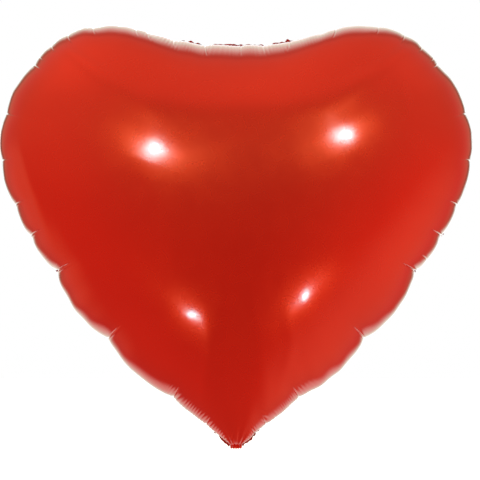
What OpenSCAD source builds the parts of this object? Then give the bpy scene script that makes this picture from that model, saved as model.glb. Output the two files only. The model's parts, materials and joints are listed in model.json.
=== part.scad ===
// Heart-shaped foil balloon, inflated, with its tail folded up behind the tip.
//
// Two metallised films are heat-sealed together round a heart. They run on at the tip as a
// flat tail, and a sleeve of two thin plastic films inside the tail is the self-sealing valve.
// The origin is the fold line of the tail, +Z runs up the heart and the front faces -Y.
// Films are far thinner than shown: film_t and the other thicknesses are modelling values.

/* [Balloon] */
// Width of the inflated heart across both lobes
balloon_w = 500; // [450:10:560]
// Height of the inflated heart, from the fold of the tail to the top of the lobes
balloon_h = 449; // [400:1:500]
// Thickness of the inflated heart, front to back, at its middle
balloon_d = 250; // [220:5:280]

/* [Films and seals] */
// Width of the heat-sealed rim
seal_w = 5.5; // [4:0.5:7]
// Thickness of each outer film
film_t = 0.6; // [0.5:0.1:0.8]
// Thickness of the weld between the two outer films
weld_t = 0.8; // [0.8:0.1:1]

/* [Tail] */
// Length of the tail, from the fold to its open mouth
tail_l = 68; // [60:1:90]
// Width of the tail at the fold, where it is gathered
tail_root_w = 18; // [17:1:20]
// Width of the tail at its mouth
tail_mouth_w = 30; // [26:1:36]
// Width of the weld down each side of the tail
tail_seal_w = 2; // [1.5:0.5:2]
// Radius of the hole punched through both films near the mouth
hole_r = 3; // [2:0.5:4]
// Angle from hanging straight down to lying folded up behind the tip
folded_deg = 132; // [120:1:134]

/* [Valve] */
// Width of the valve sleeve
valve_w = 13; // [11:0.5:13]
// Length of the sleeve inside the heart, from the fold
valve_inner_l = 75; // [60:1:90]
// Length of the sleeve inside the tail, from the fold
valve_tail_l = 48; // [40:1:50]
// Thickness of each valve film
valve_film_t = 0.25; // [0.2:0.05:0.25]

/* [Hidden] */

FOIL = "crimson";
WELD = "firebrick";
CLEAR_FILM = "whitesmoke";
COAT = "lightgray";

stack_t = weld_t + 2 * film_t;      // both outer films with the weld between them
fold_r = 1.2 * stack_t;             // outside of the rolled film at the fold
root_z = fold_r + 0.1;              // where the flat root of the tail leaves the fold
top_z = balloon_h - fold_r;         // top of the lobes
hole_from_fold = tail_l - 11;       // centre of the punched hole
coat_t = 0.1;                       // layer of coat, or of weld, between the valve films
valve_seal_w = 1.2;                 // weld down each side of the valve sleeve
release_coat_w = valve_w - 2 * valve_seal_w - 0.2;
valve_slot_w = valve_w + 0.4;       // gap in the rim weld that the sleeve passes through
tack_from_fold = 22;                // near edge of the weld that holds the sleeve in the tail
tack_l = 3;                         // and its length along the tail
overshoot = 1;                      // how far a cut runs past the edge it opens

pole = [0, 0.6 * top_z];            // middle of the heart, where the film rings close
tip_taper = 95;                     // height over which the tip thickens
plan_shrink = 1 - film_t / 190;     // the inside of a panel is its outside, drawn in to the
depth_shrink = 1 - film_t / (balloon_d / 2);    // pole by one film thickness
n_rings = 12;                       // rings from the rim of a panel to its pole

// ---- Outline of the heart ----

// Right half of the outline in parts of half the width and of the height, tip to cleft:
// straight from the tip and round to the side, over the lobe, and down into the cleft.
outline_beziers = [
    [[0.62, 0.25], [1, 0.49], [1, 0.715]],
    [[1, 0.87], [0.76, 1], [0.5, 1]],
    [[0.33, 1], [0.24, 0.955], [0, 0.955]]
];
bezier_steps = [20, 14, 10];

function plan_point(f) = [f.x * balloon_w / 2, root_z + f.y * (top_z - root_z)];
function bezier(p, t) =
    pow(1 - t, 3) * p[0] + 3 * t * pow(1 - t, 2) * p[1] + 3 * t * t * (1 - t) * p[2] + pow(t, 3) * p[3];
function bezier_start(k) =
    k == 0 ? [tail_root_w / 2, root_z] : plan_point(outline_beziers[k - 1][2]);
function bezier_ends(k) = concat([bezier_start(k)], [for (f = outline_beziers[k]) plan_point(f)]);

right_half = [
    for (k = [0:2]) for (i = [0:bezier_steps[k] - 1]) bezier(bezier_ends(k), i / bezier_steps[k])
];
cleft_point = plan_point(outline_beziers[2][2]);
left_half = [for (i = [len(right_half) - 1:-1:0]) [-right_half[i].x, right_half[i].y]];
outline = concat(right_half, [cleft_point], left_half);
n_outline = len(outline);

function wrap(i) = (i + n_outline) % n_outline;
function inward(i) =
    let (run = outline[wrap(i + 1)] - outline[wrap(i - 1)]) [-run.y, run.x] / norm(run);

// Line where the two films leave the weld and the inflated part begins
seam = [for (i = [0:n_outline - 1]) outline[i] + seal_w * inward(i)];

// ---- Swell of the films ----

// Smoothed distance of a point from the seam: the inverse of the mean of 1 / distance, taken
// over all directions, which has this exact sum over the sides of a polygon
function half_angle_tan(a, b) = (a.x * b.y - a.y * b.x) / (norm(a) * norm(b) + a * b);
function edge_pull(a, b) = half_angle_tan(a, b) * (1 / norm(a) + 1 / norm(b));
function seam_distance(p) =
    let (pulls = [for (i = [0:n_outline - 1]) edge_pull(seam[i] - p, seam[wrap(i + 1)] - p)])
    2 / (pulls * [for (i = pulls) 1]);

function swell(p) = seam_distance(p) * (1 - exp(-p.y / tip_taper));
pole_swell = swell(pole);
function film_height(p) = balloon_d / 2 * sqrt(swell(p) / pole_swell);

// Rings are spaced as on a sphere: close together at the rim, where the film stands upright
ring_share = [for (k = [0:n_rings - 1]) cos(90 * k / n_rings)];
dome = [
    for (k = [0:n_rings - 1]) [
        for (s = seam)
            let (p = pole + ring_share[k] * (s - pole)) [p.x, k == 0 ? film_t : film_height(p), p.y]
    ]
];
dome_pole = [pole.x, balloon_d / 2, pole.y];

// The same rings on the inside of the film, where the lowest lies on the weld
function lined(p, y) =
    [pole.x + plan_shrink * (p.x - pole.x), y, pole.y + plan_shrink * (p.z - pole.y)];
lining = [
    for (k = [n_rings - 1:-1:0]) [for (p = dome[k]) lined(p, k == 0 ? 0 : depth_shrink * p.y)]
];
lining_pole = lined(dome_pole, depth_shrink * dome_pole.y);

// The flat rim that is welded to the other panel
lip = [for (y = [0, film_t]) [for (p = outline) [p.x, y, p.y]]];
panel_rings = concat(lining, lip, dome);

// Closed skin over a stack of rings with a point at each end
module skin(start, rings, end) {
    n = len(rings[0]);
    last = len(rings) * n;
    points = concat([for (ring = rings) for (p = ring) p], [start, end]);
    faces = concat(
        [for (i = [0:n - 1]) [last, (i + 1) % n, i]],
        [for (k = [0:len(rings) - 2]) for (i = [0:n - 1])
            let (a = k * n + i, b = k * n + (i + 1) % n) each [[a, b, b + n], [a, b + n, a + n]]],
        [for (i = [0:n - 1]) [last - n + i, last - n + (i + 1) % n, last + 1]]
    );
    polyhedron(points, faces, convexity = 6);
}

module rear_half() {
    translate([0, weld_t / 2, 0]) skin(lining_pole, panel_rings, dome_pole);
}

// ---- The heart ----

module front_panel() {
    color(FOIL) mirror([0, 1, 0]) rear_half();
}

module rear_panel() {
    color(FOIL) rear_half();
}

// Flat band of fused film round the rim, open at the tip for the valve
module perimeter_seal() {
    color(WELD) layer(-weld_t / 2, weld_t) difference() {
        polygon(outline);
        polygon(seam);
        strip(valve_slot_w, root_z - overshoot, root_z + 2 * seal_w);
    }
}

// Half a turn of both films, where the tail folds: it stands for the crease and its hinge line
module tail_fold() {
    color(FOIL) rotate([0, 90, 0]) cylinder(h = tail_root_w, r = fold_r, center = true, $fn = 48);
}

// ---- Flat layers ----

// A flat shape drawn with X across and Y up stands upright, and lies from depth y to y + t
module layer(y, t) {
    translate([0, y + t, 0]) rotate([90, 0, 0]) linear_extrude(t) children();
}

// The same, on the front (-1) or rear (1) side of the middle plane and the given way from it
module outer_layer(side, from_middle, t) {
    layer(side > 0 ? from_middle : -from_middle - t, t) children();
}

module strip(w, from, to) {
    translate([-w / 2, from]) square([w, to - from]);
}

// ---- Valve sleeve ----

module valve_film(side, from, to) {
    color(CLEAR_FILM) outer_layer(side, coat_t / 2, valve_film_t) strip(valve_w, from, to);
}

module valve_side_seals(from, to) {
    color(CLEAR_FILM) layer(-coat_t / 2, coat_t) for (side = [-1, 1])
        translate([side * (valve_w - valve_seal_w) / 2, 0]) strip(valve_seal_w, from, to);
}

module release_coat(from, to) {
    color(COAT) layer(-coat_t / 2, coat_t) strip(release_coat_w, from, to);
}

module inner_valve_front_film() {
    valve_film(-1, root_z, valve_inner_l);
}

module inner_valve_rear_film() {
    valve_film(1, root_z, valve_inner_l);
}

module inner_valve_side_seals() {
    valve_side_seals(root_z, valve_inner_l);
}

// Printed where the rim is welded across the sleeve, so that the sleeve stays open there
module inner_release_coat() {
    release_coat(root_z, root_z + 3 * seal_w);
}

// ---- Tail ----

// Turns the tail, drawn hanging down from the fold, up behind the tip
module folded_up() {
    rotate([folded_deg, 0, 0]) children();
}

module tail_film(side) {
    color(FOIL) folded_up() outer_layer(side, weld_t / 2, film_t) difference() {
        polygon([
            [-tail_root_w / 2, -root_z], [-tail_mouth_w / 2, -tail_l],
            [tail_mouth_w / 2, -tail_l], [tail_root_w / 2, -root_z]
        ]);
        translate([0, -hole_from_fold]) circle(r = hole_r, $fn = 48);
    }
}

module tail_front_film() {
    tail_film(-1);
}

module tail_rear_film() {
    tail_film(1);
}

// A weld down each edge, which leaves the mouth open
module tail_side_seals() {
    color(WELD) folded_up() layer(-weld_t / 2, weld_t) for (side = [-1, 1]) polygon([
        [side * tail_root_w / 2, -root_z],
        [side * (tail_root_w / 2 - tail_seal_w), -root_z],
        [side * (tail_mouth_w / 2 - tail_seal_w), -tail_l],
        [side * tail_mouth_w / 2, -tail_l]
    ]);
}

module tail_valve_front_film() {
    folded_up() valve_film(-1, -valve_tail_l, -root_z);
}

module tail_valve_rear_film() {
    folded_up() valve_film(1, -valve_tail_l, -root_z);
}

module tail_valve_side_seals() {
    folded_up() valve_side_seals(-valve_tail_l, -root_z);
}

module tail_release_coat() {
    folded_up() release_coat(-root_z - 3 * seal_w, -root_z);
}

// A weld across the sleeve on each side, which holds it to the films of the tail
module valve_tack_seals() {
    sleeve_t = coat_t / 2 + valve_film_t;
    color(WELD) folded_up() for (side = [-1, 1])
        outer_layer(side, sleeve_t, weld_t / 2 - sleeve_t)
            strip(valve_w, -tack_from_fold - tack_l, -tack_from_fold);
}

front_panel();
rear_panel();
perimeter_seal();
tail_fold();
inner_valve_front_film();
inner_valve_rear_film();
inner_valve_side_seals();
inner_release_coat();
tail_front_film();
tail_rear_film();
tail_side_seals();
tail_valve_front_film();
tail_valve_rear_film();
tail_valve_side_seals();
tail_release_coat();
valve_tack_seals();
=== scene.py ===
"""Heart-shaped balloon in red metallised film, inflated, with its tail folded up behind the tip.

Each film of the heart is one fine mesh, worked out from the outline: the film leaves the weld in a
groove, swells over it and closes in over the middle. Creases and pleats run in from the rim. The
welded rim, the tail and the valve sleeve inside it are thin strips swept along their own lines. The
surroundings and the lamps that the foil mirrors come last.
Lengths are in metres, in the frame of the CAD: +Z up the heart, front towards -Y.
"""

import json
import math

import bpy
import numpy as np
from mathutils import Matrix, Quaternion, Vector


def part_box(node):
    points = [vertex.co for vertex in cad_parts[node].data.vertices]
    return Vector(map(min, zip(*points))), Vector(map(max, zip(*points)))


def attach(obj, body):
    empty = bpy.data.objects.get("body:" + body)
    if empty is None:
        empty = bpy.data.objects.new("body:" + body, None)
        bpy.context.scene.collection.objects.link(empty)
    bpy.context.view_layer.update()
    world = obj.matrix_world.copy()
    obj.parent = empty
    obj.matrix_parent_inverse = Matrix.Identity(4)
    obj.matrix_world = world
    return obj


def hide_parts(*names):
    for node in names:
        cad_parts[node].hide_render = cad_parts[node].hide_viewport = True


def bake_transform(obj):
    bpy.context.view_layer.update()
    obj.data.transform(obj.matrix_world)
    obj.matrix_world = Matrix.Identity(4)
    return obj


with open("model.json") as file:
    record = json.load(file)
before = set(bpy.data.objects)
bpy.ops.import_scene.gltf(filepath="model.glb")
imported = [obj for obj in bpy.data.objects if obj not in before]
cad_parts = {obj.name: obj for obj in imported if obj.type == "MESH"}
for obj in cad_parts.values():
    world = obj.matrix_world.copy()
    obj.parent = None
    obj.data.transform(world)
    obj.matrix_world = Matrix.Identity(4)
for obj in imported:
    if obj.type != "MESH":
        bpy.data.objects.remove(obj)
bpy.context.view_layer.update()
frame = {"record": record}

MM = 0.001

# ---------------------------------------------------------------- camera

VIEW_W = 0.5096  # the width that the picture takes in at the balloon
VIEW_X, VIEW_Z = 0.0042, 0.2195  # the middle of the picture
CAMERA_AWAY = 2.8


def make_camera():
    data = bpy.data.cameras.new("camera")
    camera = bpy.data.objects.new("camera", data)
    bpy.context.scene.collection.objects.link(camera)
    camera.location = (VIEW_X, -CAMERA_AWAY, VIEW_Z)
    camera.rotation_euler = (math.pi / 2, 0, 0)
    data.lens = data.sensor_width * CAMERA_AWAY / VIEW_W
    bpy.context.scene.camera = camera


make_camera()

# ---------------------------------------------------------------- curves


def smooth_step(x, low, high):
    """Rises from 0 at low to 1 at high, level at both."""
    t = np.clip((x - low) / (high - low), 0, 1)
    return t * t * (3 - 2 * t)


def bell(x):
    """A hump: 1 at 0, and next to nothing past 2 either way."""
    return np.exp(-(x**2))


def mix(start, end, share):
    return start + (end - start) * share


# ---------------------------------------------------------------- outline of the heart

panel_low, panel_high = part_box("rear_panel")
HALF_W = panel_high.x
HALF_D = panel_high.y
ROOT_Z, TOP_Z = panel_low.z, panel_high.z
TIP_HALF_W = 6 * MM  # the film is gathered at the tip
POLE = np.array([0.0, 0.6 * TOP_Z])  # where each film is fullest and its columns meet
TIP_TAPER = 95 * MM  # the films swell to their full depth over about this height

# Right half, tip to cleft, in parts of half the width and of the height
OUTLINE = (
    ((0.62, 0.25), (1.0, 0.49), (1.0, 0.715)),
    ((1.0, 0.87), (0.76, 1.0), (0.5, 1.0)),
    ((0.33, 1.0), (0.24, 0.955), (0.0, 0.955)),
)


def plan_point(part):
    return np.array([part[0] * HALF_W, ROOT_Z + part[1] * (TOP_Z - ROOT_Z)])


def half_outline(steps=200):
    """Points of the right half: across the tip, up the flank, over the lobe and into the cleft."""
    start = np.array([TIP_HALF_W, ROOT_Z])
    points = [np.array([[0.0, ROOT_Z]])]
    t = np.linspace(0, 1, steps, endpoint=False)[:, None]
    for parts in OUTLINE:
        a, b, c = (plan_point(part) for part in parts)
        curve = (1 - t) ** 3 * start + 3 * t * (1 - t) ** 2 * a + 3 * t**2 * (1 - t) * b + t**3 * c
        points.append(curve)
        start = c
    points.append(start[None])
    return np.concatenate(points)


HALF = half_outline()
HALF_RUN = np.concatenate([[0], np.cumsum(np.linalg.norm(np.diff(HALF, axis=0), axis=1))])
HALF_LENGTH = HALF_RUN[-1]


def rim_point(place):
    """Point of the right half of the outline at a place from 0, the tip, to 1, the cleft."""
    run = np.asarray(place) * HALF_LENGTH
    return np.stack([np.interp(run, HALF_RUN, HALF[:, i]) for i in (0, 1)], axis=-1)


# ---------------------------------------------------------------- creases and pleats of the rim

# Where the rim puckers, from the tip to the cleft: its place, how far it lies outside the smooth
# outline, and how far the film puffs out between it and the next one, both in millimetres
PUCKERS = (
    (0.000, 0.5, 0.0),
    (0.054, -1.5, 0.8),
    (0.115, -1.5, 6.2),
    (0.240, -1.4, 7.0),
    (0.361, -7.2, 2.4),
    (0.420, -4.6, 1.5),
    (0.471, -3.8, 1.9),
    (0.541, -1.0, 1.5),
    (0.609, -1.6, 1.6),
    (0.693, -1.8, 1.3),
    (0.728, 1.4, 1.0),
    (0.757, 2.8, 1.3),
    (0.795, 1.0, 0.7),
    (0.856, -2.4, 0.4),
    (0.875, -4.2, 0.3),
    (0.914, -4.2, 0.5),
    (0.957, -3.2, 0.7),
    (1.000, -1.4, 0.0),
)

LEFT, RIGHT, BOTH = (-1,), (1,), (1, -1)

# Creases in the film: the halves of the heart they are in, their place, their length and depth in
# millimetres, and how much they slant towards the cleft as they run in
CREASES = (
    (RIGHT, 0.054, 9, 0.9, 0.2),
    (LEFT, 0.054, 9, 0.9, 0.1),
    (RIGHT, 0.033, 8, 0.7, 0.0),
    (BOTH, 0.115, 13, 1.3, 0.1),
    (BOTH, 0.240, 17, 1.6, 0.0),
    (BOTH, 0.361, 19, 2.0, -0.1),
    (RIGHT, 0.384, 10, 0.8, 0.0),
    (BOTH, 0.424, 15, 1.4, 0.0),
    (BOTH, 0.474, 14, 1.2, 0.0),
    (BOTH, 0.541, 12, 0.9, 0.0),
    (BOTH, 0.610, 13, 1.1, 0.0),
    (BOTH, 0.693, 11, 1.0, 0.1),
    (RIGHT, 0.703, 8, 0.7, 0.1),
    (LEFT, 0.706, 8, 0.7, 0.1),
    (RIGHT, 0.726, 9, 0.8, 0.0),
    (LEFT, 0.729, 9, 0.8, 0.0),
    (RIGHT, 0.756, 10, 0.8, 0.0),
    (LEFT, 0.757, 10, 0.8, 0.0),
    (BOTH, 0.795, 9, 0.8, 0.0),
    (RIGHT, 0.856, 12, 1.1, 0.3),
    (LEFT, 0.856, 10, 1.0, 0.3),
    (LEFT, 0.874, 11, 0.9, 0.3),
    (LEFT, 0.912, 10, 0.9, 0.3),
    (RIGHT, 0.925, 11, 1.0, 0.3),
    (LEFT, 0.956, 12, 1.1, 0.3),
    (RIGHT, 0.962, 9, 0.7, 0.0),
    (RIGHT, 0.993, 10, 1.0, 0.0),
)
CREASE_END = 1.4  # lengths in from the rim, where a crease has faded out
CREASE_FADE = 0.6  # power of the fading, which leaves half the depth two thirds of the way in
CREASE_DEPTHS = (0.7225, 0.9775)  # each has its depth times a random number between these
CREASE_W = 0.55 * MM
CREASE_SPREAD = 0.012  # how much wider it is for each metre further in
# The raised lip beside a crease: its height against the depth, its place and width against the width
LIP_H, LIP_AT, LIP_W = 0.35, 2.2, 1.6
# The broad hollow that a crease lies in: its depth against the crease's, its own width, how much
# wider it is for each metre further in, and its length against the crease's
HOLLOW_D, HOLLOW_W, HOLLOW_SPREAD, HOLLOW_LENGTH = 0.55, 5 * MM, 0.25, 1.6

# Long shallow folds in the film. The ridge runs from the middle up into each lobe, alike on both
# sides, and is broad near the middle and steep near its ends. Its points are in millimetres
RIDGE = ((0, 358), (50, 358), (89, 364), (117, 374), (145, 394), (176, 418))
RIDGE_W = (20 * MM, 6 * MM)
RIDGE_NARROWS = (0.2, 1.0)  # between these parts of its length
RIDGE_SLOPE = (0.09, 0.20)  # its height against its width
RIDGE_STEEPENS = (0.5, 0.8)

# The others, in millimetres: the points of the middle line, how high it stands and how wide it is
# at its two ends
FOLDS = (
    (((-222, 345), (-222, 314), (-214, 286), (-201, 243), (-191, 209)), 0.9, 7, 6),
    (((173, 376), (178, 344)), 0.6, 5, 5),
    (((-68, 238), (-64, 195)), 0.3, 8, 7),
    (((-106, 290), (-103, 266)), -0.35, 8, 7),
    (((128, 306), (124, 284)), -0.3, 8, 7),
    (((40, 194), (36, 172)), -0.25, 7, 7),
    (((-30, 150), (-30, 100), (-36, 52)), 0.3, 8, 5),
    (((54, 150), (58, 110), (44, 52)), 0.3, 8, 5),
)

# The fine pleats are at the tip and at the cleft, and are slight along the flanks between
PLEAT_PITCH = 3.5 * MM
PLEAT_STRAYS = 0.8  # how many pitches they wander from their even places
PLEATS_FADE = (0.09, 0.17)  # places between which those of the tip die away
PLEATS_RETURN = (0.83, 0.88)
FLANK_PLEATS = 0.12  # how strong they are along the flanks
PLEAT_HOLLOW = 0.6  # how far in the film lies between them, in heights of a pleat
PLEAT_H, PLEAT_H_VARIES = 0.34 * MM, 0.12 * MM
PLEAT_REACH, PLEAT_REACH_VARIES = 12 * MM, 4 * MM
RIM_SWELL, RIM_SWELL_REACH = 0.25 * MM, 14 * MM  # broader swells of the film by the rim


def pleating(place):
    """How strongly the rim is pleated at a place, from 0 to 1."""
    return 1 - smooth_step(place, *PLEATS_FADE) + smooth_step(place, *PLEATS_RETURN)


def rim_offset(place):
    """How far the puckered rim lies outside the smooth outline."""
    places = np.array([p[0] for p in PUCKERS])
    k = np.clip(np.searchsorted(places, place, side="right") - 1, 0, len(PUCKERS) - 2)
    between = (place - places[k]) / (places[k + 1] - places[k])
    straight = np.interp(place, places, [p[1] for p in PUCKERS])
    puff = np.array([p[2] for p in PUCKERS])[k]
    return (straight + puff * 4 * between * (1 - between)) * MM


BLURS = (0, 2, 4, 8, 16, 32)  # millimetres, over which the puckers are smoothed
BLUR_IN = 0.8  # how much more they are smoothed for each millimetre further in
PUCKER_REACH = 28 * MM  # they die away over about this far in
EVEN_RUN = np.linspace(0, 2 * HALF_LENGTH, 4096, endpoint=False)


def smoothed_offsets():
    """The offset of the rim at even steps all round it, smoothed over each length in BLURS."""
    place = np.minimum(EVEN_RUN, 2 * HALF_LENGTH - EVEN_RUN) / HALF_LENGTH
    waves = np.fft.rfft(rim_offset(place))
    turn = np.arange(len(waves)) * math.pi / HALF_LENGTH
    return [np.fft.irfft(waves * np.exp(-((turn * blur * MM) ** 2) / 2)) for blur in BLURS]


OFFSETS = smoothed_offsets()


def offset_inside(run, inset):
    """The offset of the rim as felt further in, where the puckers have smoothed out."""
    whole = np.array([np.interp(run, EVEN_RUN, values, period=2 * HALF_LENGTH) for values in OFFSETS])
    level = np.interp(BLUR_IN * inset / MM, BLURS, np.arange(len(BLURS)))
    low = np.minimum(level.astype(int), len(BLURS) - 2)
    column = np.arange(len(run))
    return mix(whole[low, column], whole[low + 1, column], level - low)


# ---------------------------------------------------------------- columns and rings of a film

N_HALF = 896  # columns of the mesh along each half of the rim
N = 2 * N_HALF
CLOSER = 3.0  # how many more of them there are at a pleat or a crease
CLOSER_NEAR = 3 * MM  # within about this distance of a crease


def lean_at(place, apart=0.002):
    """How far the way from the rim to the pole leans along the rim, at a place of the right half."""
    point = rim_point(place)
    step = rim_point(place + apart) - rim_point(place - apart)
    inward = (POLE - point) / np.linalg.norm(POLE - point)
    return float(inward @ step / np.linalg.norm(step))


def column_places(steps=20000):
    """Places of the columns on one half, closer together where there are pleats or creases."""
    fine = np.linspace(0, 1, steps + 1)
    density = 1 + CLOSER * pleating(fine)
    for sides, place, length, _, _ in CREASES:
        aside = lean_at(place) * length * MM / 2
        off = (fine - place) * HALF_LENGTH + aside
        density += len(sides) * CLOSER * bell(off / (CLOSER_NEAR + abs(aside)))
    run = np.concatenate([[0], np.cumsum((density[1:] + density[:-1]) / 2)])
    return np.interp(np.linspace(0, run[-1], N_HALF + 1), run, fine)


half_places = column_places()
PLACE = np.concatenate([half_places, half_places[-2:0:-1]])
SIDE = np.where(np.arange(N) <= N_HALF, 1.0, -1.0)


def around(values, distance):
    """Smooths values round the closed rim over about that many columns."""
    weights = bell(np.arange(-3 * distance, 3 * distance + 1) / distance)
    weights /= weights.sum()
    padded = np.concatenate([values[-3 * distance :], values, values[: 3 * distance]])
    return np.stack(
        [np.convolve(padded[:, i], weights, mode="valid") for i in range(values.shape[1])], axis=1
    )


rim = rim_point(PLACE) * np.stack([SIDE, np.ones(N)], axis=1)
rim_way = around(np.roll(rim, -1, axis=0) - np.roll(rim, 1, axis=0), 6)
rim_way /= np.linalg.norm(rim_way, axis=1)[:, None]
rim_out = np.stack([rim_way[:, 1], -rim_way[:, 0]], axis=1)
RUN = np.where(SIDE > 0, PLACE, 2 - PLACE) * HALF_LENGTH  # along the rim, from the tip round
TO_POLE = POLE - rim
LEAN = (TO_POLE * rim_way).sum(axis=1) / np.linalg.norm(TO_POLE, axis=1)  # along the rim


def seam_distance(points, line):
    """Smoothed distance of points from a closed line: the inverse of the mean of 1 / distance."""
    total = np.zeros(len(points))
    for a, b in zip(line, np.roll(line, -1, axis=0)):
        a, b = a - points, b - points
        far_a, far_b = np.linalg.norm(a, axis=1), np.linalg.norm(b, axis=1)
        turn = a[:, 0] * b[:, 1] - a[:, 1] * b[:, 0]
        total += turn / (far_a * far_b + (a * b).sum(axis=1)) * (1 / far_a + 1 / far_b)
    return 2 / total


SEAM_LINE = rim[::8]


def swell(points):
    """The square of the height of the film there, before it is scaled to the depth of the heart."""
    return seam_distance(points, SEAM_LINE) * (1 - np.exp(-points[:, 1] / TIP_TAPER))


POLE_SWELL = swell(POLE[None])[0]

GROOVE_IN = 4 * MM  # the weld lies this far inside the silhouette
GROOVE_AT_TIP, GROOVE_AT_CLEFT = 0.4, 0.65  # the share of that which is left there
GROOVE_NARROWS = (0.03, 0), (0.86, 0.93)  # places between which it narrows to the tip and the cleft
GROOVE_H = 7 * MM  # the film is this far from the middle plane where it turns over
GROOVE_RINGS = 6
TIP_LIP = {True: 2.8 * MM, False: 1.0 * MM}  # that distance at the tip, on the front and on the rear
TIP_LIP_ENDS = 0.07  # the place past which it is the full distance
TIP_RAISED = {True: 0.0, False: 3.0 * MM}  # the rear film stops higher, to clear the folded tail
TIP_RAISED_ENDS = (0.004, 0.03)  # places between which it comes back down
SEAM_Y = 0.2 * MM  # where each film leaves the weld
RIM_REACH = 28 * MM  # how far in from the rim the film is pulled tight and smooth
RING_ANGLES = np.concatenate(
    [np.arange(0, 30, 1.0), np.arange(30, 60, 1.5), np.arange(60, 88, 2.0), [88.5]]
)
HALVED_AT = (30, 48, 66, 80)  # angles past which a ring has half as many columns again


def ring_stride(angle):
    return 2 ** sum(angle >= limit for limit in HALVED_AT)


def groove_width(place):
    """Depth of the groove between the two films, less where the weld shows."""
    to_tip, to_cleft = (smooth_step(place, *ends) for ends in GROOVE_NARROWS)
    return GROOVE_IN * mix(1, GROOVE_AT_TIP, to_tip) * mix(1, GROOVE_AT_CLEFT, to_cleft)


def film_points(front):
    """Points of the smooth film, ring by ring from the weld towards the pole: (rings, columns, 3),
    and each one's distance in from the silhouette."""
    place_in = groove_width(PLACE)[:, None]
    lip = mix(TIP_LIP[front], GROOVE_H, smooth_step(PLACE, 0, TIP_LIP_ENDS))
    raised = TIP_RAISED[front] * (1 - smooth_step(PLACE, *TIP_RAISED_ENDS))
    edge = rim + np.stack([np.zeros(N), raised], axis=1)
    rings, inset = [], []
    for k in range(GROOVE_RINGS):
        up = k / GROOVE_RINGS
        plan = edge - rim_out * place_in * (1 - up) ** 2
        rings.append(np.column_stack([plan[:, 0], mix(SEAM_Y, lip, up), plan[:, 1]]))
        inset.append(np.zeros(N))
    for angle in RING_ANGLES:
        plan = POLE + math.cos(math.radians(angle)) * (edge - POLE)
        height = np.zeros(N)
        if angle > 0:
            height = np.sqrt(np.maximum(swell(plan), 0) / POLE_SWELL)
        rings.append(np.column_stack([plan[:, 0], mix(lip, HALF_D, height), plan[:, 1]]))
        inset.append(np.linalg.norm(plan - edge, axis=1))
    return np.array(rings), np.array(inset)


def normals_of(points):
    """Normals of a grid of points that is closed along its second axis, mostly towards +Y."""
    along = np.roll(points, -1, axis=1) - np.roll(points, 1, axis=1)
    inward = np.gradient(points, axis=0)
    normal = np.cross(along, inward)
    normal /= np.linalg.norm(normal, axis=2)[:, :, None] + 1e-12
    return normal * np.sign((normal[:, :, 1:2]).mean() or 1)


def wander(finest, rng):
    """A smooth random line of values round the rim, mostly between -1 and 1. It is a sum of waves,
    and the finest of them is nearly that many to the round."""
    waves = np.arange(1, finest)
    turn = RUN[:, None] / (2 * HALF_LENGTH) * 2 * math.pi * waves
    size = rng.normal(size=(2, len(waves))) / math.sqrt(len(waves))
    return (size[0] * np.sin(turn) + size[1] * np.cos(turn)).sum(axis=1)


def crease(off, inset, length, depth):
    """How far the film lies out by one crease: a sharp line with a raised lip, in a broad hollow."""
    end = CREASE_END * length
    fade = np.clip(1 - inset / end, 0, 1) ** CREASE_FADE
    width = CREASE_W + CREASE_SPREAD * inset
    line = fade * bell(off / width)
    lip = LIP_H * fade * bell((off - LIP_AT * width) / (LIP_W * width))
    hollow = bell(off / (HOLLOW_W + HOLLOW_SPREAD * inset)) * np.exp(-inset / (HOLLOW_LENGTH * end))
    return depth * (lip - line - HOLLOW_D * hollow)


def pleats(run_there, inset, rng):
    """How far the film lies out in the fine pleats by the rim, and in the broader swells there."""
    turn = run_there / PLEAT_PITCH + PLEAT_STRAYS * wander(40, rng)
    wave = np.abs(np.sin(math.pi * turn)) - PLEAT_HOLLOW
    height = PLEAT_H + PLEAT_H_VARIES * wander(160, rng)
    reach = PLEAT_REACH + PLEAT_REACH_VARIES * wander(120, rng)
    shift = wave * height * mix(FLANK_PLEATS, 1, pleating(PLACE)) * bell(inset / reach)
    return shift + RIM_SWELL * wander(70, rng) * np.exp(-inset / RIM_SWELL_REACH)


def crease_shift(inset, rng):
    """How far each point lies out from the smooth film because of the creases and pleats."""
    shift = np.zeros_like(inset)
    run_there = RUN + LEAN * inset
    for sides, place, length, depth, slant in CREASES:
        for side in sides:
            run = (place if side > 0 else 2 - place) * HALF_LENGTH
            off = run_there - run - side * slant * inset
            shift += crease(off, inset, length * MM, depth * MM * rng.uniform(*CREASE_DEPTHS))
    return shift + pleats(run_there, inset, rng)


def beside(x, z, line):
    """How far points are from a line, and how far along it they are, from 0 to 1."""
    near = np.full_like(x, np.inf)
    along = np.zeros_like(x)
    for k, (a, b) in enumerate(zip(line[:-1], line[1:])):
        way = b - a
        t = np.clip(((x - a[0]) * way[0] + (z - a[1]) * way[1]) / (way @ way), 0, 1)
        gap = np.hypot(x - a[0] - t * way[0], z - a[1] - t * way[1])
        along = np.where(gap < near, (k + t) / (len(line) - 1), along)
        near = np.minimum(near, gap)
    return near, along


def folds(points):
    """How far the film lies out because of its long shallow folds."""
    x, z = points[:, :, 0], points[:, :, 2]
    near, along = beside(np.abs(x), z, np.array(RIDGE) * MM)
    width = mix(*RIDGE_W, smooth_step(along, *RIDGE_NARROWS))
    slope = mix(*RIDGE_SLOPE, smooth_step(along, *RIDGE_STEEPENS))
    shift = width * slope * bell(near / width)
    for line, height, start_width, end_width in FOLDS:
        near, along = beside(x, z, np.array(line) * MM)
        width = mix(start_width, end_width, along) * MM
        ends = mix(0.3, 1, np.sin(math.pi * np.clip(along, 0.02, 0.98)))
        shift += height * MM * ends * bell(near / width)
    return shift


UNEVEN_WAVES = 26
UNEVEN_LENGTHS = (26 * MM, 130 * MM)
UNEVEN_STEEPNESS = 0.00028  # the height of such a wave against its length


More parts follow.
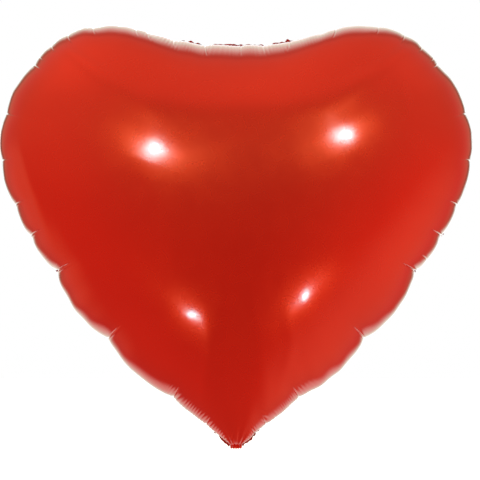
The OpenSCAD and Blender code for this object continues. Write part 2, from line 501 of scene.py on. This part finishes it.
def slight_waves(points, rng):
    """Slight unevenness of the whole film, higher where it is broader."""
    x, z = points[:, :, 0], points[:, :, 2]
    shift = np.zeros_like(x)
    for _ in range(UNEVEN_WAVES):
        angle = rng.uniform(0, math.pi)
        phase = rng.uniform(0, 2 * math.pi)
        length = rng.uniform(*UNEVEN_LENGTHS)
        way = x * math.cos(angle) + z * math.sin(angle)
        shift += UNEVEN_STEEPNESS * length * np.sin(2 * math.pi * way / length + phase)
    return shift


GATHER_H = 0.5 * MM
GATHER_REACH = 17 * MM  # up from the tip
GATHERS_MEET = 6 * MM  # they spread like a fan from this far below the tip
GATHER_FAN = 0.33  # the width of each against the height above that point
GATHERS = 1.9  # about how many there are on each side of the middle


def gathers(points):
    """How far the film lies out where it is gathered into the neck at the tip."""
    x, z = points[:, :, 0], points[:, :, 2]
    fan = x / (GATHER_FAN * (z + GATHERS_MEET))
    return GATHER_H * np.cos(2 * math.pi * fan) * bell(z / GATHER_REACH) * bell(fan / GATHERS)


FOLDS_START = (2 * MM, 30 * MM)  # the folds and waves come in over this far from the rim
CREASED_AT_WELD = 0.2  # the share of the creases that is left where the film meets the weld


def film_shape(front, rng):
    """The points of one film, with its puckered rim, creases and pleats, and their insets."""
    points, inset = film_points(front)
    out = np.stack([rim_out[:, 0], np.zeros(N), rim_out[:, 1]], axis=1)
    offset = offset_inside(RUN, inset) * np.exp(-inset / PUCKER_REACH)
    points += offset[:, :, None] * out
    in_groove = np.ones(len(points))
    in_groove[:GROOVE_RINGS] = np.linspace(CREASED_AT_WELD, 1, GROOVE_RINGS)
    shift = crease_shift(inset, rng) + gathers(points)
    shift += (folds(points) + slight_waves(points, rng)) * smooth_step(inset, *FOLDS_START)
    points += (shift * in_groove[:, None])[:, :, None] * normals_of(points)
    return points, inset


def film_faces(strides):
    """Faces from ring to ring, some with half as many columns as the one before, and to the pole."""
    first = np.concatenate([[0], np.cumsum([N // stride for stride in strides])])
    faces = []
    for k in range(len(strides) - 1):
        here, there = first[k], first[k + 1]
        count = N // strides[k + 1]
        j = np.arange(count)
        after = (j + 1) % count
        if strides[k] == strides[k + 1]:
            faces += np.stack([here + j, here + after, there + after, there + j], axis=1).tolist()
            continue
        a, b, c = here + 2 * j, here + 2 * j + 1, here + 2 * after
        faces += np.stack([a, b, there + j], axis=1).tolist()
        faces += np.stack([b, there + after, there + j], axis=1).tolist()
        faces += np.stack([b, c, there + after], axis=1).tolist()
    last, pole = first[-2], first[-1]
    j = np.arange(N // strides[-1])
    after = (j + 1) % len(j)
    return faces + np.stack([last + j, last + after, np.full(len(j), pole)], axis=1).tolist()


def film_mesh(name, front, rng):
    """The mesh of one film of the heart, with how near each of its points is to the rim."""
    points, inset = film_shape(front, rng)
    strides = [1] * GROOVE_RINGS + [ring_stride(angle) for angle in RING_ANGLES]
    faces = film_faces(strides)
    if front:
        points[:, :, 1] *= -1
    else:
        faces = [face[::-1] for face in faces]
    pole = [[POLE[0], HALF_D * (-1 if front else 1), POLE[1]]]
    rings = [ring[::stride] for ring, stride in zip(points, strides)]
    made = add_mesh(name, np.concatenate(rings + [pole]), faces)
    nearness = [ring[::stride] for ring, stride in zip(bell(inset / RIM_REACH), strides)]
    near = made.data.attributes.new("rim_nearness", "FLOAT", "POINT")
    near.data.foreach_set("value", np.concatenate(nearness + [[0.0]]).astype(np.float32))
    return made


# ---------------------------------------------------------------- the welded rim

RIM_WELD_T = 0.3 * MM
WELD_STEPS = 7  # points across it
WELD_LAP = 0.4 * MM  # it reaches in past the foot of the groove
WELD_BACK = 0.8 * MM  # its edge lies this far inside the smooth outline
TIP_WELD, TIP_WELD_ENDS = 3.2 * MM, (0.015, 0.055)  # but it shows at the tip, up to these places
CLEFT_WELD, CLEFT_WELD_STARTS = 2.4 * MM, (0.905, 0.925)
NOTCH, NOTCH_W = 0.957, 0.006  # place of the notch beside the cleft, where it is hidden again
NECK_OPEN = 0.008  # the weld is left open up to this place, for the valve
CRIMP = 0.5 * MM  # how far its edge wanders
RIPPLE_PITCH = 3.1 * MM
RIPPLE_STRAYS = 0.9  # how many pitches the ripples wander from their even places
RIPPLE_H, RIPPLE_H_VARIES = 0.9 * MM, 0.4 * MM
RIPPLES_START = (0.006, 0.016)  # the edge is flat beside the open neck


def weld_reach(place):
    """How far the welded rim stands out past the smooth outline."""
    tip = TIP_WELD * (1 - smooth_step(place, *TIP_WELD_ENDS))
    cleft = CLEFT_WELD * smooth_step(place, *CLEFT_WELD_STARTS) * (1 - bell((place - NOTCH) / NOTCH_W))
    return tip + cleft - WELD_BACK


def weld_mesh(name, rng):
    """The flat band of fused film round the heart, rippled where the films gathered as they filled."""
    inner = offset_inside(RUN, np.zeros(N)) - groove_width(PLACE) - WELD_LAP
    crimp = CRIMP * wander(300, rng)
    outer = offset_inside(RUN, np.full(N, 3 * MM)) + weld_reach(PLACE) + crimp
    turn = RUN / RIPPLE_PITCH + RIPPLE_STRAYS * wander(60, rng)
    ripple = np.sin(2 * math.pi * turn) * (RIPPLE_H + RIPPLE_H_VARIES * wander(120, rng))
    ripple *= smooth_step(PLACE, *RIPPLES_START)
    lines = []
    for share in np.linspace(0, 1, WELD_STEPS):
        plan = rim + rim_out * mix(inner, outer, share)[:, None]
        lines.append(np.column_stack([plan[:, 0], ripple * share**1.3, plan[:, 1]]))
    points = np.array(lines)
    kept = np.flatnonzero(PLACE > NECK_OPEN)
    kept = kept[np.argsort(RUN[kept])]
    grid = points[:, kept].reshape(-1, 3)
    facing = normals_of(points)[:, kept].reshape(-1, 3)
    return thick_sheet(name, grid, facing, grid_faces(WELD_STEPS, len(kept)), RIM_WELD_T)


# ---------------------------------------------------------------- meshes


def grid_faces(rows, columns):
    """Faces of a grid of points that run along each row in turn."""
    corner = (np.arange(rows - 1)[:, None] * columns + np.arange(columns - 1)[None]).ravel()
    return np.stack([corner, corner + 1, corner + columns + 1, corner + columns], axis=1).tolist()


def thick_sheet(name, points, facing, faces, thickness):
    """A sheet of that thickness: both of its sides, joined round its edges."""
    count = len(points)
    vertices = np.concatenate([points + facing * thickness / 2, points - facing * thickness / 2])
    edges = {(face[i], face[(i + 1) % len(face)]) for face in faces for i in range(len(face))}
    border = sorted((a, b) for a, b in edges if (b, a) not in edges)
    below = [[corner + count for corner in reversed(face)] for face in faces]
    sides = [[b, a, a + count, b + count] for a, b in border]
    return add_mesh(name, vertices, faces + below + sides)


def add_mesh(name, vertices, faces):
    mesh = bpy.data.meshes.new(name)
    mesh.from_pydata([tuple(v) for v in vertices], [], faces)
    mesh.validate()
    mesh.polygons.foreach_set("use_smooth", [True] * len(mesh.polygons))
    mesh.update()
    made = bpy.data.objects.new(name, mesh)
    bpy.context.scene.collection.objects.link(made)
    return made


def join(name, objects):
    """Makes one piece of several meshes."""
    vertices, faces = [], []
    for made in objects:
        start = len(vertices)
        vertices += [tuple(v.co) for v in made.data.vertices]
        faces += [[start + i for i in polygon.vertices] for polygon in made.data.polygons]
        bpy.data.objects.remove(made)
    return add_mesh(name, vertices, faces)


# ---------------------------------------------------------------- materials


class Nodes:
    """A node tree, built one node at a time."""

    def __init__(self, tree):
        self.tree = tree
        self.coords = self.node("TexCoord")

    def node(self, kind, inputs=(), **settings):
        made = self.tree.nodes.new("ShaderNode" + kind)
        for key, value in settings.items():
            setattr(made, key, value)
        for key, value in dict(inputs).items():
            self.set(made, key, value)
        return made

    def set(self, node, key, value):
        if isinstance(value, bpy.types.NodeSocket):
            self.tree.links.new(value, node.inputs[key])
        else:
            node.inputs[key].default_value = value

    def math(self, operation, a, b=0.0):
        return self.node("Math", {0: a, 1: b}, operation=operation).outputs[0]

    def mix(self, factor, a, b):
        return self.node("Mix", {"Factor": factor, 6: a, 7: b}, data_type="RGBA").outputs[2]

    def map(self, value, low, high, to_low, to_high, **settings):
        """Takes the range from low to high to another one, and holds it beyond their ends."""
        ends = {"From Min": low, "From Max": high, "To Min": to_low, "To Max": to_high}
        return self.node("MapRange", {"Value": value, **ends}, **settings).outputs["Result"]


class Shader(Nodes):
    """A material, and the noises that vary it."""

    def __init__(self, name):
        self.material = bpy.data.materials.new(name)
        self.material.use_nodes = True
        super().__init__(self.material.node_tree)
        self.main = self.tree.nodes["Principled BSDF"]

    def look(self, key, value):
        self.set(self.main, key, value)

    def noise(self, scale, detail=3.0):
        made = self.node("TexNoise", {"Scale": scale, "Detail": detail, "Roughness": 0.5})
        self.set(made, "Vector", self.coords.outputs["Object"])
        return made.outputs["Fac"]

    def spread(self, noise, low, high):
        """Maps a noise, most of which lies between 0.3 and 0.7, to a range."""
        return self.map(noise, 0.3, 0.7, low, high)

    def bump(self, height, distance, strength, under=None):
        made = self.node("Bump", {"Height": height, "Distance": distance, "Strength": strength})
        if under:
            self.set(made, "Normal", under)
        return made.outputs["Normal"]


def foil_material(name, deep, bright, roughness, ripple):
    """Metallised film under a clear red lacquer, faintly uneven as stretched film is."""
    shader = Shader(name)
    shader.look("Base Color", shader.mix(shader.spread(shader.noise(9.0), 0.0, 1.0), deep, bright))
    shader.look("Metallic", 1.0)
    # It is smoother near the rim, where it is pulled tight
    near = shader.node("Attribute", attribute_name="rim_nearness").outputs["Fac"]
    even = shader.spread(shader.noise(60.0), roughness - 0.02, roughness + 0.02)
    shader.look("Roughness", shader.math("ADD", even, shader.math("MULTIPLY", near, -0.09)))
    shader.look("Specular Tint", (1, 0.3, 0.25, 1))
    shader.look("Coat Weight", 1.0)
    shader.look("Coat Roughness", 0.11)
    shader.look("Coat IOR", 1.41)
    broad = shader.bump(shader.noise(38.0, 2.0), 0.4 * MM, ripple)
    shader.look("Normal", shader.bump(shader.noise(900.0, 2.0), 0.02 * MM, 0.08, broad))
    return shader.material


def valve_film_material():
    """Clear polythene, a little milky."""
    shader = Shader("valve_film")
    shader.look("Base Color", shader.mix(shader.noise(120.0), (0.86, 0.88, 0.88, 1), (0.93, 0.94, 0.93, 1)))
    shader.look("Roughness", shader.spread(shader.noise(300.0), 0.18, 0.3))
    shader.look("Transmission Weight", 0.6)
    shader.look("Normal", shader.bump(shader.noise(700.0), 0.02 * MM, 0.3))
    return shader.material


def release_coat_material():
    """A thin dusty print that keeps the two valve films from welding together."""
    shader = Shader("release_coat")
    dust = shader.spread(shader.noise(900.0, 4.0), 0.0, 1.0)
    shader.look("Base Color", shader.mix(dust, (0.55, 0.66, 0.56, 1), (0.74, 0.8, 0.72, 1)))
    shader.look("Roughness", shader.spread(shader.noise(400.0), 0.75, 0.9))
    shader.look("Normal", shader.bump(shader.noise(1500.0), 0.02 * MM, 0.5))
    return shader.material


red_foil = foil_material(
    "red_foil", deep=(0.86, 0.017, 0.002, 1), bright=(0.92, 0.022, 0.003, 1), roughness=0.27, ripple=0.05
)
weld_foil = foil_material(
    "weld_foil", deep=(0.42, 0.006, 0.004, 1), bright=(0.60, 0.01, 0.006, 1), roughness=0.34, ripple=0.6
)
valve_film = valve_film_material()
release_coat = release_coat_material()


def dress(piece, material):
    piece.data.materials.clear()
    piece.data.materials.append(material)
    return piece


# ---------------------------------------------------------------- the films of the heart

front_foil = dress(film_mesh("front_foil", True, np.random.default_rng(7)), red_foil)
rear_foil = dress(film_mesh("rear_foil", False, np.random.default_rng(8)), red_foil)
for foil, node in ((front_foil, "front_panel"), (rear_foil, "rear_panel")):
    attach(foil, "balloon")
    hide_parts(node)

rim_weld = dress(weld_mesh("rim_weld", np.random.default_rng(9)), weld_foil)
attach(rim_weld, "balloon")
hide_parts("perimeter_seal")

# ---------------------------------------------------------------- tail and valve

mounts = {mount["name"]: Vector(mount["pos_m"]) for mount in frame["record"]["mounts"]}
TAIL_L = mounts["fill_mouth"].length
HOLE_AT = mounts["ribbon_hole"].length
FOLD = math.pi / 2 + math.atan2(mounts["fill_mouth"].z, mounts["fill_mouth"].y)
FOLD_R = 1.6 * MM  # radius of the middle of the tail where it folds
FOLD_RUN = FOLD_R * FOLD
FOLDED_WAY = np.array([0.0, math.sin(FOLD), -math.cos(FOLD)])
SETTLE = 12 * MM  # either side of the fold, the tail comes back in line with the hinge over this far
TAIL_LAP = 8 * MM  # how far the tail's films run up into the tip
ROOT_HALF_W, MOUTH_HALF_W = 9 * MM, 15 * MM
NECK_HALF_W = 6.2 * MM  # where the root is gathered
GATHERED_L = 18 * MM
WELD_W = 2 * MM
HOLE_R = 3 * MM
VALVE_HALF_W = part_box("inner_valve_front_film")[1].x
VALVE_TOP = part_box("inner_valve_front_film")[1].z
VALVE_TAIL_L = 48 * MM
VALVE_DRAWN_IN, VALVE_DRAWN_L = 1 * MM, 9 * MM
VALVE_WELD_W = 1.2 * MM
FILM_T = 0.1 * MM
TAIL_WELD_T = 0.2 * MM
VALVE_FILM_T, VALVE_WELD_T = 0.08 * MM, 0.18 * MM
COAT_T, TACK_T = 0.05 * MM, 0.2 * MM
FILM_OFF = 0.16 * MM  # from the middle to each film of the valve, and of the tail at its welds
TACK_OFF = 0.3 * MM
TAIL_SLACK, TAIL_BULGE, MOUTH_GAP = 0.3 * MM, 0.9 * MM, 1.3 * MM  # of each tail film between its welds
COAT_HALF_L = 17 * MM  # the coat is printed this far either way from the start of the fold
TACKED = (22 * MM, 25 * MM)  # past the fold, where the valve is welded to the tail

# Waves that run through all its layers: fine gathers at the fold, the fan that opens out of them,
# and long slow waves beyond the fold and inside the heart
GATHERS_H, GATHERS_PITCH, GATHERS_END = 0.4 * MM, 2.4 * MM, (3 * MM, 24 * MM)
FAN_H, FAN_REACH, FAN_STARTS = 0.25 * MM, 30 * MM, (4 * MM, 14 * MM)
FAN_PITCH, FAN_SPREAD = 3.5 * MM, 0.12  # at the fold, and how much it grows for each metre past it
TAIL_WAVE_H, TAIL_WAVE_L, TAIL_WAVE_STARTS = 0.7 * MM, 13 * MM, (5 * MM, 25 * MM)
INNER_WAVE_H, INNER_WAVE_L, INNER_WAVE_STARTS = 2.2 * MM, 15 * MM, (10 * MM, 35 * MM)


def tail_line(run):
    """The middle of the tail at runs along it from the start of the fold, and the way its front
    faces: the line comes down inside the tip, turns round the fold and goes up behind."""
    turned = np.clip(run / FOLD_R, 0, FOLD)
    facing = np.stack([np.zeros_like(run), -np.cos(turned), -np.sin(turned)], axis=-1)
    inside, beyond = np.maximum(-run, 0), np.maximum(run - FOLD_RUN, 0)
    away = FOLD_R * (1 - smooth_step(inside + beyond, 0, SETTLE))
    line = away[..., None] * facing + inside[..., None] * np.array([0.0, 0.0, 1.0])
    return line + beyond[..., None] * FOLDED_WAY, facing


def tail_half_width(run):
    """The tail is gathered at the fold, and widens to its mouth."""
    past = run - FOLD_RUN
    laid_flat = mix(ROOT_HALF_W, MOUTH_HALF_W, np.clip(past / TAIL_L, 0, 1))
    return mix(NECK_HALF_W, laid_flat, smooth_step(past, 0, GATHERED_L))


def valve_half_width(run):
    """The valve is drawn in a little where it passes the fold."""
    return VALVE_HALF_W - VALVE_DRAWN_IN * bell(run / VALVE_DRAWN_L)


def waves(run, x):
    """Waves that every layer of the tail and of the valve shares."""
    past = run - FOLD_RUN
    near_fold = 1 - smooth_step(np.abs(run), *GATHERS_END)
    wave = GATHERS_H * near_fold * np.cos(2 * math.pi * x / GATHERS_PITCH)
    fan = x / (FAN_PITCH + FAN_SPREAD * np.abs(past))
    fading = smooth_step(past, *FAN_STARTS) * np.exp(-past / FAN_REACH)
    wave += FAN_H * np.cos(2 * math.pi * fan) * fading
    wave += TAIL_WAVE_H * np.sin(past / TAIL_WAVE_L) * smooth_step(past, *TAIL_WAVE_STARTS)
    inner = np.sin((run + TAIL_LAP) / INNER_WAVE_L) * smooth_step(-run, *INNER_WAVE_STARTS)
    return wave + INNER_WAVE_H * inner


def swept(name, runs, shares, x_at, lift, thickness, hole=False):
    """A strip along the tail: x_at gives x at each run and share across it, lift how far in front
    of the middle it is there."""
    run, share = np.meshgrid(runs, shares, indexing="ij")
    x = x_at(run, share)
    line, facing = tail_line(run)
    points = line + (waves(run, x) + lift(run, x))[..., None] * facing
    points[..., 0] = x
    faces = np.array(grid_faces(*run.shape))[:, ::-1]
    flat = np.stack([x, run - FOLD_RUN - HOLE_AT], axis=-1).reshape(-1, 2)
    points, facing = points.reshape(-1, 3), facing.reshape(-1, 3)
    if hole:
        inside = np.linalg.norm(flat[faces].mean(axis=1), axis=1) < HOLE_R
        rim_points = np.intersect1d(faces[inside], faces[~inside])
        faces = faces[~inside]
        pulled = flat[rim_points] * (HOLE_R / np.linalg.norm(flat[rim_points], axis=1) - 1)[:, None]
        points[rim_points, 0] += pulled[:, 0]
        points[rim_points] += pulled[:, 1:] * FOLDED_WAY
    used, faces = np.unique(faces, return_inverse=True)
    faces = faces.reshape(-1, 4).tolist()
    return thick_sheet(name, points[used], facing[used], faces, thickness)


def whole_width(half_width):
    """From edge to edge."""
    return lambda run, share: share * half_width(run)


def along_edge(half_width, width):
    """Both edge strips of that width, with nothing between them."""
    return lambda run, share: np.sign(share) * (half_width(run) - width * (1 - np.abs(share)))


def tail_film_lift(side):
    """How far each film of the tail is from its middle: welded at its sides, loose between them and
    open at the mouth."""

    def lift(run, x):
        from_weld = tail_half_width(run) - WELD_W - np.abs(x)
        loose = smooth_step(from_weld, 0, 2.5 * MM)
        past = run - FOLD_RUN
        share = 1 - (x / tail_half_width(run)) ** 2
        bulge = TAIL_BULGE * share * smooth_step(past, 6 * MM, 30 * MM)
        mouth = MOUTH_GAP * share * smooth_step(past, TAIL_L - 14 * MM, TAIL_L)
        return side * (FILM_OFF + loose * (TAIL_SLACK + bulge + mouth))

    return lift


def flat_lift(height):
    return lambda run, x: np.full_like(run, height)


def side_welds(name, runs, half_width, width, points, thickness, material):
    """The welds along both sides of the tail or of the valve, as one piece."""
    strips = []
    for shares in (np.linspace(-1, -0.01, points), np.linspace(0.01, 1, points)):
        strips.append(swept("weld", runs, shares, along_edge(half_width, width), flat_lift(0), thickness))
    return dress(join(name, strips), material)


def bend_with_tail(piece, slot, *nodes):
    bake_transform(piece)
    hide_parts(*nodes)


def make_tail():
    by_hole = (HOLE_AT - 2 * HOLE_R, HOLE_AT + 2 * HOLE_R)
    runs = np.concatenate(
        [
            np.linspace(-TAIL_LAP, 0, 12, endpoint=False),
            np.linspace(0, FOLD_RUN, 14, endpoint=False),
            FOLD_RUN + np.linspace(0, by_hole[0], 60, endpoint=False),
            FOLD_RUN + np.linspace(*by_hole, 24, endpoint=False),
            FOLD_RUN + np.linspace(by_hole[1], TAIL_L, 10),
        ]
    )
    shares = np.linspace(-1, 1, 81)
    width = whole_width(tail_half_width)
    for name, side, nodes in (
        ("tail_front_foil", 1, ("tail_front_film", "tail_fold")),
        ("tail_rear_foil", -1, ("tail_rear_film",)),
    ):
        film = swept(name, runs, shares, width, tail_film_lift(side), FILM_T, hole=True)
        dress(film, red_foil)
        bend_with_tail(film, "foil", *nodes)
    welds = side_welds("tail_side_welds", runs, tail_half_width, WELD_W, 5, TAIL_WELD_T, weld_foil)
    bend_with_tail(welds, "weld", "tail_side_seals")


def make_valve():
    runs = np.concatenate(
        [
            np.linspace(-VALVE_TOP, -TAIL_LAP, 50, endpoint=False),
            np.linspace(-TAIL_LAP, 0, 12, endpoint=False),
            np.linspace(0, FOLD_RUN, 14, endpoint=False),
            FOLD_RUN + np.linspace(0, VALVE_TAIL_L, 50),
        ]
    )
    shares = np.linspace(-1, 1, 25)
    width = whole_width(valve_half_width)
    for name, side, nodes in (
        ("valve_front_sleeve", 1, ("inner_valve_front_film", "tail_valve_front_film")),
        ("valve_rear_sleeve", -1, ("inner_valve_rear_film", "tail_valve_rear_film")),
    ):
        film = swept(name, runs, shares, width, flat_lift(side * FILM_OFF), VALVE_FILM_T)
        dress(film, valve_film)
        bend_with_tail(film, "valve_film", *nodes)
    welds = side_welds(
        "valve_side_welds", runs, valve_half_width, VALVE_WELD_W, 4, VALVE_WELD_T, valve_film
    )
    bend_with_tail(welds, "valve_film", "inner_valve_side_seals", "tail_valve_side_seals")
    make_release_coat(runs[np.abs(runs) < COAT_HALF_L], shares)
    make_tacks(shares)


def make_release_coat(runs, shares):
    between_welds = whole_width(lambda run: valve_half_width(run) - VALVE_WELD_W)
    coat = swept("valve_release_coat", runs, shares, between_welds, flat_lift(0), COAT_T)
    dress(coat, release_coat)
    bend_with_tail(coat, "release_coat", "inner_release_coat", "tail_release_coat")


def make_tacks(shares):
    """The welds that hold each film of the valve to the tail's film beside it."""
    runs = FOLD_RUN + np.linspace(*TACKED, 6)
    width = whole_width(valve_half_width)
    strips = [swept("tack", runs, shares, width, flat_lift(side * TACK_OFF), TACK_T) for side in (1, -1)]
    tacks = dress(join("valve_tack_welds", strips), weld_foil)
    bend_with_tail(tacks, "weld", "valve_tack_seals")


make_tail()
make_valve()

# ---------------------------------------------------------------- floor, surroundings and lamps

FLOOR_Z = -0.35


def make_floor():
    """A white floor that neither lights the balloon nor shows in the foil."""
    bpy.ops.mesh.primitive_plane_add(size=12, location=(0, 2, FLOOR_Z))
    floor = bpy.context.object
    floor.name = "floor"
    shader = Shader("floor_white")
    shader.look("Base Color", shader.mix(shader.noise(2.0), (0.95, 0.95, 0.95, 1), (0.97, 0.97, 0.97, 1)))
    shader.look("Roughness", 0.9)
    shader.look("Emission Color", (1, 1, 1, 1))
    shader.look("Emission Strength", 1.0)
    dress(floor, shader.material)
    floor.visible_glossy = False
    floor.visible_diffuse = False
    floor.visible_shadow = False


make_floor()


class Surroundings(Nodes):
    """What the foil mirrors. In the numbers here x, y and z are the parts of a direction of length 1
    that is seen from the balloon: y is 1 straight behind it, and z is 1 straight up."""

    def __init__(self, name):
        world = bpy.data.worlds.new(name)
        bpy.context.scene.world = world
        world.use_nodes = True
        world.node_tree.nodes.clear()
        super().__init__(world.node_tree)
        self.way = self.coords.outputs["Generated"]
        self.x, self.y, self.z = self.node("SeparateXYZ", {"Vector": self.way}).outputs
        self.side = self.math("ABSOLUTE", self.x)

    def step(self, value, low, high, to_low=0.0, to_high=1.0):
        return self.map(value, low, high, to_low, to_high, interpolation_type="SMOOTHSTEP")

    def product(self, *values):
        made = values[0]
        for value in values[1:]:
            made = self.math("MULTIPLY", made, value)
        return made

    def glow(self, colour, brightness):
        return self.node("VectorMath", {0: colour, "Scale": brightness}, operation="SCALE").outputs[0]


EDGE_Y = 0.89  # how far round behind the backdrop begins, on a level with the balloon
PALE_WALLS = (
    ((0.76, 0.0, -0.65), 0.72, (0.06, 0.36, 0.25)),
    ((-0.89, 0.30, -0.34), 0.86, (0.12, 0.26, 0.14)),
)  # which way each is seen, how narrowly, and its light


def inside_backdrop(sky):
    """How far a direction is inside the edge of the backdrop, which is behind the balloon and comes
    further forward overhead and below than at the sides."""
    bow = sky.product(sky.z, sky.z, sky.step(sky.z, -0.3, 0.3, 0.6, 0.5))
    below = sky.math("MAXIMUM", sky.product(sky.z, -1.0), 0.0)
    corners = sky.product(sky.side, below, 0.35)
    return sky.math("ADD", sky.math("ADD", sky.math("SUBTRACT", sky.y, EDGE_Y), bow), corners)


def backdrop_light(sky):
    """The backdrop is cool, which shows only where the lacquer mirrors it at a low angle."""
    red = sky.step(sky.y, 0.88, 0.97, 0.77, 1.12)
    green = sky.step(sky.z, -0.5, 0.5, 1.75, sky.step(sky.y, 0.85, 0.98, 1.9, 1.35))
    blue = sky.product(green, sky.step(sky.y, 0.9, 0.98, 0.86, 1.0))
    return sky.node("CombineXYZ", {0: red, 1: green, 2: blue}).outputs[0]


def room_light(sky, inside):
    """The room is darkest in front of the balloon, brighter to the sides, above and below, and
    dimmer again beside the backdrop. Its lower part is warmer, and two pale walls stand in it."""
    tall = sky.math("MAXIMUM", sky.product(sky.z, 0.6), sky.product(sky.z, -0.22))
    away = sky.math("SQRT", sky.math("ADD", sky.math("POWER", sky.side, 2.0), sky.math("POWER", tall, 2.0)))
    beside_backdrop = sky.step(sky.z, -0.3, 0.0, 0.97, sky.step(sky.z, 0.1, 0.6, 0.52, 0.76))
    brightness = sky.product(
        sky.step(away, 0.05, 0.9, 0.435, 0.68),
        sky.step(inside, -0.07, -0.01, 1.0, beside_backdrop),
        sky.step(sky.z, 0.45, 0.85, 1.0, 1.17),  # brighter overhead
        sky.step(sky.product(sky.x, sky.z), -0.4, 0.4, 1.08, 0.96),  # and to the upper left and lower right
        sky.step(sky.y, -0.3, 0.4, 1.0, 0.93),  # dimmer from beside the balloon on back
        sky.step(sky.x, -1.0, -0.4, 0.9, 1.0),  # and to the far left
        sky.step(sky.z, -1.0, -0.7, 1.15, 1.0),  # brighter straight below
    )
    colour = sky.mix(sky.step(sky.z, -0.6, 0.6), (1.0, 0.44, 0.30, 1.0), (1.0, 0.88, 0.56, 1.0))
    room = sky.glow(colour, brightness)
    for way, narrowest, light in PALE_WALLS:
        facing = sky.node("VectorMath", {0: sky.way, 1: way}, operation="DOT_PRODUCT").outputs["Value"]
        wall = sky.glow(light, sky.step(facing, narrowest, 1.0))
        room = sky.node("VectorMath", {0: room, 1: wall}, operation="ADD").outputs[0]
    return room


def make_world():
    """A warm room in front of the balloon and round its sides, and a cool white backdrop behind it.
    The camera itself sees plain white in place of them."""
    sky = Surroundings("studio")
    inside = inside_backdrop(sky)
    mirrored = sky.mix(sky.step(inside, 0.0, 0.10), room_light(sky, inside), backdrop_light(sky))
    to_camera = sky.node("LightPath").outputs["Is Camera Ray"]
    shown = sky.mix(to_camera, mirrored, (1, 1, 1, 1))
    background = sky.node("Background", {"Color": shown, "Strength": 1.0})
    sky.node("OutputWorld", {"Surface": background.outputs[0]})


make_world()

# Each lamp: its name, where it is, its longer width, its shorter one against that, its tilt in
# degrees, its brightness and how much red it has
LAMPS = (
    ("key_left", (-0.473, -1.80, 0.742), 0.175, 0.44, -22, 60, 0.15),
    ("key_right", (0.658, -1.72, 0.865), 0.155, 0.56, 24, 60, 0.15),
    ("low_left", (-0.548, -1.29, -1.085), 0.076, 0.32, -50, 150, 0.20),
    ("low_right", (0.775, -1.31, -0.95), 0.076, 0.34, 45, 150, 0.20),
    ("behind", (-0.24, 2.20, 0.52), 0.220, 0.8, 0, 40, 0.15),
)
# A lamp is a bulb before the middle of a diffuser that is dimmer towards its edge: how far off each
# disc is, how wide and how bright, against the bulb
DISCS = (
    ("bulb", 1.0, 1.0, 1.0),
    ("middle", 1.02, 2.1, 0.32),
    ("edge", 1.04, 3.0, 0.03),
)
LAMPS_FACE = Vector((0, 0, 0.24))
LAMP_GREEN, LAMP_BLUE = 0.95, 1.08


def make_disc(name, where, width, slim, tilt, radiance, red):
    """A soft oval light, cool, so that the red foil glows little beside its reflection."""
    data = bpy.data.lights.new(name, "AREA")
    data.shape = "ELLIPSE"
    data.size = slim * width
    data.size_y = width
    area = math.pi * data.size * data.size_y / 4
    data.energy = math.pi * area * radiance
    data.color = (red, LAMP_GREEN, LAMP_BLUE)
    lamp = bpy.data.objects.new(name, data)
    bpy.context.scene.collection.objects.link(lamp)
    lamp.location = where
    lamp.visible_camera = False
    aim = (LAMPS_FACE - lamp.location).to_track_quat("-Z", "Y")
    lamp.rotation_euler = (aim @ Quaternion((0, 0, 1), math.radians(tilt))).to_euler()


def make_lamps():
    for name, where, width, slim, tilt, radiance, red in LAMPS:
        for disc, off, wider, dimmer in DISCS:
            disc_name = name + "_" + disc
            make_disc(disc_name, off * Vector(where), wider * width, slim, tilt, dimmer * radiance, red)


make_lamps()
bpy.context.scene.view_settings.view_transform = "Standard"
